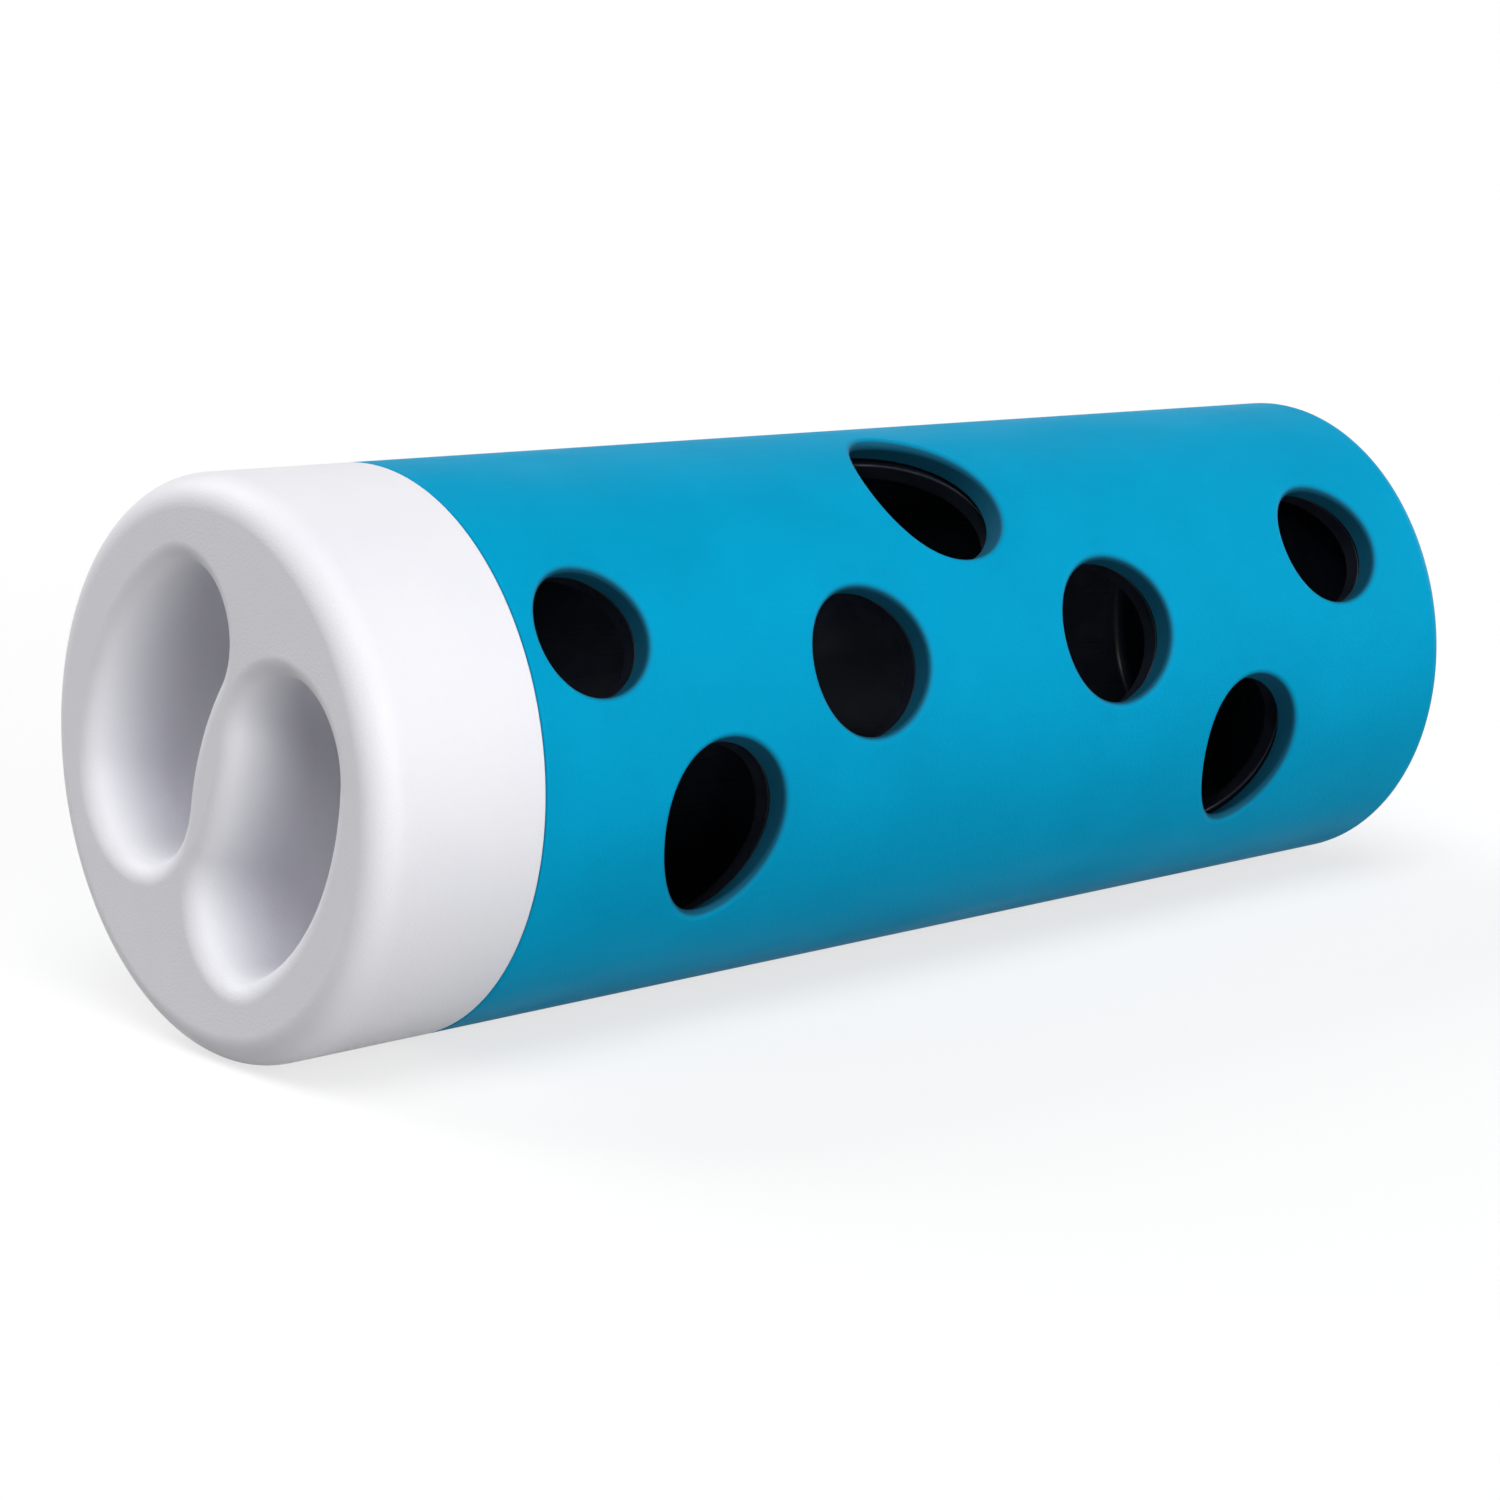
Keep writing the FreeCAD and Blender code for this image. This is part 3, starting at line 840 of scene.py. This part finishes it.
def product(tree, first, second):
    """Two values multiplied."""
    node = placed(tree, "ShaderNodeMath", operation="MULTIPLY")
    tree.links.new(first, node.inputs[0])
    tree.links.new(second, node.inputs[1])
    return node.outputs[0]


def past_station(tree, from_x, to_x):
    """0 before one station on the axis, rising to 1 at another, which may lie on either side of it."""
    start, end = sorted((from_x, to_x))
    levels = (0.0, 1.0) if from_x < to_x else (1.0, 0.0)
    return ranged(tree, separated(tree, "Object")["X"], *levels, start * MM, end * MM)


def painted_shade_in_holes(tree):
    """Mask of painted shade: 1 on the walls of the sleeve's holes and 0 on its outside and its two ends."""
    past_mouth = past_station(tree, SEAM_X + MOUTH_ROLL, SEAM_X + 3 * MOUTH_ROLL)
    short_of_end = past_station(tree, FAR_FACE_X - FAR_EDGE_ROLL, FAR_FACE_X - 2 * FAR_EDGE_ROLL)
    return product(tree, product(tree, past_mouth, short_of_end), under_surface(tree, 0.0, HOLE_SHADE_DEPTH))


def painted_shade_in_recess(tree):
    """Mask of painted shade: 0 on the cap's face, outside and inside, rising to 1 with the depth in the
    recesses.
    """
    depth = past_station(tree, *[CAP_FACE_X + depth for depth in RECESS_SHADE_DEPTHS])
    facing_out = ranged(tree, separated(tree, "Normal")["X"], 1.0, 0.0, RECESS_SHADE_LEAN, 0.0)
    return product(tree, product(tree, depth, under_surface(tree, *RECESS_SHADE_INSETS)), facing_out)


def bumped(tree, height, depth, below=None):
    """Bump of a depth in metres, on top of another bump."""
    node = placed(tree, "ShaderNodeBump", strength=1.0, distance=depth)
    tree.links.new(height, node.inputs["Height"])
    if below is not None:
        tree.links.new(below, node.inputs["Normal"])
    return node.outputs["Normal"]


def material(name):
    """New node material: itself, its tree and its main shader."""
    item = bpy.data.materials.new(name)
    item.use_nodes = True
    return item, item.node_tree, item.node_tree.nodes["Principled BSDF"]


def soft_rubber():
    """Satin blue rubber: slight mottling, moulded grain, faint waviness and painted shade on the walls in the
    holes.
    """
    item, tree, shader = material("soft_rubber")
    mottle = ranged(tree, noise(tree, scale=85.0, detail=4.0), 0.0, 1.0)
    surface = blended(tree, mottle, RUBBER_DEEP, RUBBER_LIGHT)
    # Painted shade: the walls of the holes are darkened in the colour itself
    colour = blended(tree, painted_shade_in_holes(tree), surface, RUBBER_PAINTED_SHADE)
    tree.links.new(colour, shader.inputs["Base Color"])
    handled = noise(tree, scale=160.0, detail=5.0, stretch=(0.35, 1.0, 1.0))
    tree.links.new(ranged(tree, handled, 0.5, 0.6), shader.inputs["Roughness"])
    waves = bumped(tree, noise(tree, scale=45.0, detail=1.0), depth=0.0001)
    grain = bumped(tree, noise(tree, scale=3200.0, detail=3.0), depth=0.000035, below=waves)
    tree.links.new(grain, shader.inputs["Normal"])
    shader.inputs["Specular IOR Level"].default_value = 0.03
    return item


def moulded_white():
    """Hard white plastic: fine moulded grain, a trace of unevenness and painted shade greying the depths of
    the recesses.
    """
    item, tree, shader = material("moulded_white")
    clouds = ranged(tree, noise(tree, scale=60.0, detail=3.0), 0.0, 1.0)
    surface = blended(tree, clouds, WHITE_COOL, WHITE_WARM)
    # Painted shade: the depths of the recesses are greyed in the colour itself
    colour = blended(tree, painted_shade_in_recess(tree), surface, WHITE_PAINTED_SHADE)
    tree.links.new(colour, shader.inputs["Base Color"])
    handled = noise(tree, scale=220.0, detail=5.0)
    tree.links.new(ranged(tree, handled, 0.38, 0.5), shader.inputs["Roughness"])
    waves = bumped(tree, noise(tree, scale=70.0, detail=1.0), depth=0.00015)
    grain = bumped(tree, noise(tree, scale=3600.0, detail=3.0), depth=0.00003, below=waves)
    tree.links.new(grain, shader.inputs["Normal"])
    shader.inputs["Specular IOR Level"].default_value = 0.2
    return item


def gloss_black():
    """Smooth black plastic: faint draw marks along the axis and small dents."""
    item, tree, shader = material("gloss_black")
    dust = ranged(tree, noise(tree, scale=300.0, detail=6.0), 0.0, 1.0, start=0.45, end=0.8)
    tree.links.new(blended(tree, dust, BLACK_DEEP, BLACK_DUSTY), shader.inputs["Base Color"])
    drawn = noise(tree, scale=180.0, detail=1.0, stretch=(0.05, 1.0, 1.0))
    tree.links.new(ranged(tree, drawn, 0.22, 0.38), shader.inputs["Roughness"])
    waves = bumped(tree, noise(tree, scale=90.0, detail=1.0), depth=0.0001)
    lengthwise = noise(tree, scale=150.0, detail=0.0, stretch=(0.04, 1.0, 1.0))
    bands = bumped(tree, lengthwise, depth=0.0002, below=waves)
    tree.links.new(bands, shader.inputs["Normal"])
    shader.inputs["Specular IOR Level"].default_value = 0.15
    return item


def seen_directly(tree):
    """1 where the floor or sky is seen, also in a reflection or glass, and 0 where it only gives light."""
    path = placed(tree, "ShaderNodeLightPath")
    seen = path.outputs["Is Camera Ray"]
    for kind in ("Is Glossy Ray", "Is Transmission Ray"):
        either = placed(tree, "ShaderNodeMath", operation="MAXIMUM")
        tree.links.new(seen, either.inputs[0])
        tree.links.new(path.outputs[kind], either.inputs[1])
        seen = either.outputs[0]
    return seen


def floor():
    """Wide floor that the roll lies on: seen as white with a soft shadow, it falls towards the thick end."""
    middle = -(CAP_END_RADIUS + FAR_END_RADIUS) / 2 * MM
    corners = [(x, y, middle + x * SLOPE) for x, y in
               ((-FLOOR_REACH, -FLOOR_REACH), (FLOOR_REACH, -FLOOR_REACH),
                (FLOOR_REACH, FLOOR_REACH), (-FLOOR_REACH, FLOOR_REACH))]
    data = bpy.data.meshes.new("floor")
    data.from_pydata(corners, [], [(0, 1, 2, 3)])
    item = bpy.data.objects.new("floor", data)
    bpy.context.scene.collection.objects.link(item)
    finish, tree, shader = material("pale_floor")
    seen = seen_directly(tree)
    tree.links.new(blended(tree, seen, FLOOR_UNSEEN, FLOOR_SEEN), shader.inputs["Base Color"])
    shader.inputs["Roughness"].default_value = 0.9
    shader.inputs["Specular IOR Level"].default_value = 0.1
    glow = placed(tree, "ShaderNodeEmission", strength=1.0)
    mix = placed(tree, "ShaderNodeMixShader")
    share = placed(tree, "ShaderNodeMath", operation="MULTIPLY")
    share.inputs[1].default_value = FLOOR_GLOW
    tree.links.new(seen, share.inputs[0])
    tree.links.new(share.outputs[0], mix.inputs[0])
    tree.links.new(shader.outputs[0], mix.inputs[1])
    tree.links.new(glow.outputs[0], mix.inputs[2])
    tree.links.new(mix.outputs[0], tree.nodes["Material Output"].inputs["Surface"])
    data.materials.append(finish)


def sky():
    """Even light from all round, white where it is seen directly."""
    world = bpy.data.worlds.new("studio")
    bpy.context.scene.world = world
    world.use_nodes = True
    tree = world.node_tree
    strength = ranged(tree, seen_directly(tree), SKY_LIGHT, 1.0, 0.0, 1.0)
    tree.links.new(strength, tree.nodes["Background"].inputs["Strength"])
    tree.nodes["Background"].inputs["Color"].default_value = (1.0, 1.0, 1.0, 1.0)


def sun(name, towards, strength, spread):
    """Soft lamp far away that shines from a direction."""
    lamp = bpy.data.lights.new(name, "SUN")
    lamp.energy = strength
    lamp.angle = math.radians(spread)
    item = bpy.data.objects.new(name, lamp)
    item.rotation_euler = Vector(towards).to_track_quat("Z", "Y").to_euler()
    bpy.context.scene.collection.objects.link(item)


def camera():
    """Camera that looks down a little on the cap's end, as the photograph does."""
    data = bpy.data.cameras.new("camera")
    data.lens = CAMERA_LENS
    data.sensor_width = CAMERA_SENSOR
    item = bpy.data.objects.new("camera", data)
    look = Vector(CAMERA_LOOK).normalized()
    side = look.cross(Vector(CAMERA_UP)).normalized()
    up = side.cross(look)
    turn = Matrix((side, up, -look)).transposed()
    item.matrix_world = Matrix.Translation(Vector(CAMERA_PLACE) * MM) @ turn.to_4x4()
    bpy.context.scene.collection.objects.link(item)
    bpy.context.scene.camera = item


for maker, finish, body, node, slot in (
    (sleeve, soft_rubber, "sleeve", "outer_sleeve", "sleeve_blue"),
    (drum, gloss_black, "drum", "treat_drum", "drum_black"),
    (cap, moulded_white, "cap", "twist_cap", "cap_white"),
):
    piece = maker()
    piece.data.materials.append(finish())
    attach(piece, body)
    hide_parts(node)

floor()
sky()
for name, (towards, strength, spread) in LAMPS.items():
    sun(name, towards, strength, spread)
camera()
bpy.context.scene.view_settings.view_transform = "Standard"
